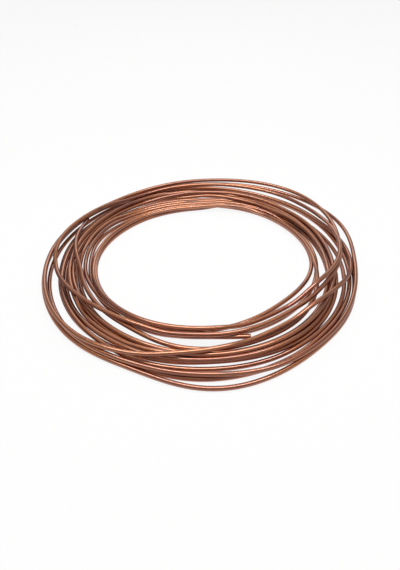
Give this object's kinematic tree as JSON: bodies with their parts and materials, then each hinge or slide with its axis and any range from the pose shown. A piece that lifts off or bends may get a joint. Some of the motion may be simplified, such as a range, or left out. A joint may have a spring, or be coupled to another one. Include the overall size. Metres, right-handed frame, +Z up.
{
  "type": "copper tube coil",
  "caption": "Loose flat coil of soft copper tube lying on its side on a floor, with an open middle and open tube ends that fittings go on.",
  "frame": {"origin": "on the floor under the middle of the coil", "axes": "+Z up along the coil's axis, the front at -Y, +X to the right seen from the front"},
  "size_m": [0.3526, 0.3526, 0.0196],
  "materials": {
    "copper": "dull bright drawn copper, lightly tarnished"
  },
  "bodies": {
    "root": {"tube_coil": "copper"}
  },
  "joints": []
}
